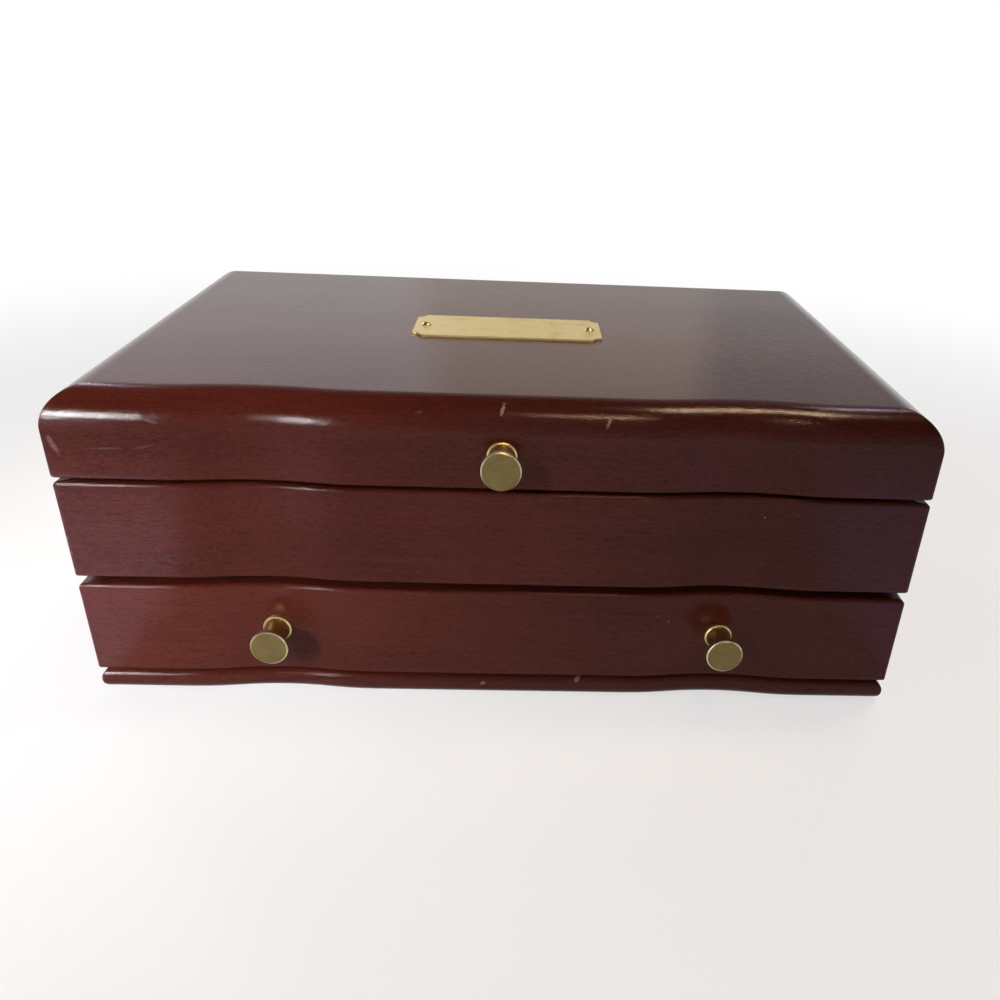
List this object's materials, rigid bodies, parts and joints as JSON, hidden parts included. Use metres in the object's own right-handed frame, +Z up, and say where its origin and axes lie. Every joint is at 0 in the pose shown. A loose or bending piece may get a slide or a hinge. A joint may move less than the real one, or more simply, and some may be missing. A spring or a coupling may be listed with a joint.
{
  "type": "cufflink box with drawer",
  "caption": "Low wooden jewellery box with a wavy front, a lid that lifts on rear hinges over a lined tray, and a lined drawer below, with brass knobs and a bare name plate.",
  "frame": {"origin": "centre of the box's footprint on the surface that it stands on", "axes": "+X to the right of the front, +Y from the front to the hinged back, +Z up"},
  "size_m": [0.28, 0.206, 0.1103],
  "materials": {
    "cherry_stained_wood": "cherry-red stain under satin lacquer, fine grain along each board",
    "inner_wood": "plainer stained wood, matt",
    "felt": "short matt felt",
    "glide_tape": "smooth low-friction tape",
    "lining_velvet": "short-pile velvet over board",
    "roll_velvet": "short-pile velvet over foam",
    "knob_brass": "polished neck, fine-turned face",
    "plate_brass": "brushed lengthwise, bare",
    "hinge_brass": "plain polished",
    "screw_brass": "plain",
    "screw_steel": "zinc-plated"
  },
  "bodies": {
    "case": {"base_felt": "felt", "base_plinth": "cherry_stained_wood", "case_back": "cherry_stained_wood", "case_front": "cherry_stained_wood", "case_side_left": "cherry_stained_wood", "case_side_right": "cherry_stained_wood", "cufflink_roll_1": "roll_velvet", "cufflink_roll_2": "roll_velvet", "cufflink_roll_3": "roll_velvet", "cufflink_roll_4": "roll_velvet", "cufflink_roll_5": "roll_velvet", "cufflink_roll_6": "roll_velvet", "deck": "inner_wood", "drawer_glide_left": "glide_tape", "drawer_glide_right": "glide_tape", "drawer_kicker_left": "inner_wood", "drawer_kicker_right": "inner_wood", "drawer_stop": "inner_wood", "hinge_case_leaf_left": "hinge_brass", "hinge_case_leaf_right": "hinge_brass", "hinge_case_screws": "screw_brass", "hinge_pin_left": "hinge_brass", "hinge_pin_right": "hinge_brass", "lid_bumpers": "felt", "tray_column_divider_1": "lining_velvet", "tray_column_divider_2": "lining_velvet", "tray_column_divider_3": "lining_velvet", "tray_floor_pad": "lining_velvet", "tray_liner": "lining_velvet", "tray_row_divider_1": "lining_velvet", "tray_row_divider_2": "lining_velvet", "tray_spine": "lining_velvet", "tray_tie_divider": "lining_velvet"},
    "lid": {"hinge_lid_leaf_left": "hinge_brass", "hinge_lid_leaf_right": "hinge_brass", "hinge_lid_screws": "screw_brass", "lid_back_rail": "cherry_stained_wood", "lid_front_rail": "cherry_stained_wood", "lid_knob": "knob_brass", "lid_knob_screw": "screw_steel", "lid_liner": "lining_velvet", "lid_pad": "lining_velvet", "lid_panel": "cherry_stained_wood", "lid_side_rail_left": "cherry_stained_wood", "lid_side_rail_right": "cherry_stained_wood", "name_plate": "plate_brass", "name_plate_screws": "screw_brass"},
    "drawer": {"drawer_back": "inner_wood", "drawer_bottom": "inner_wood", "drawer_divider_1": "lining_velvet", "drawer_divider_2": "lining_velvet", "drawer_floor_pad": "lining_velvet", "drawer_front": "cherry_stained_wood", "drawer_knob_left": "knob_brass", "drawer_knob_right": "knob_brass", "drawer_knob_screws": "screw_steel", "drawer_liner": "lining_velvet", "drawer_side_left": "inner_wood", "drawer_side_right": "inner_wood"}
  },
  "joints": [
    {"name": "lid_hinge", "type": "hinge", "parent": "case", "child": "lid", "pos_m": [0, 0.0954, 0.0804], "axis": [-1, 0, 0], "range_deg": [0, 100]},
    {"name": "drawer_slide", "type": "slide", "parent": "case", "child": "drawer", "axis": [0, -1, 0], "range_m": [0, 0.115]}
  ]
}
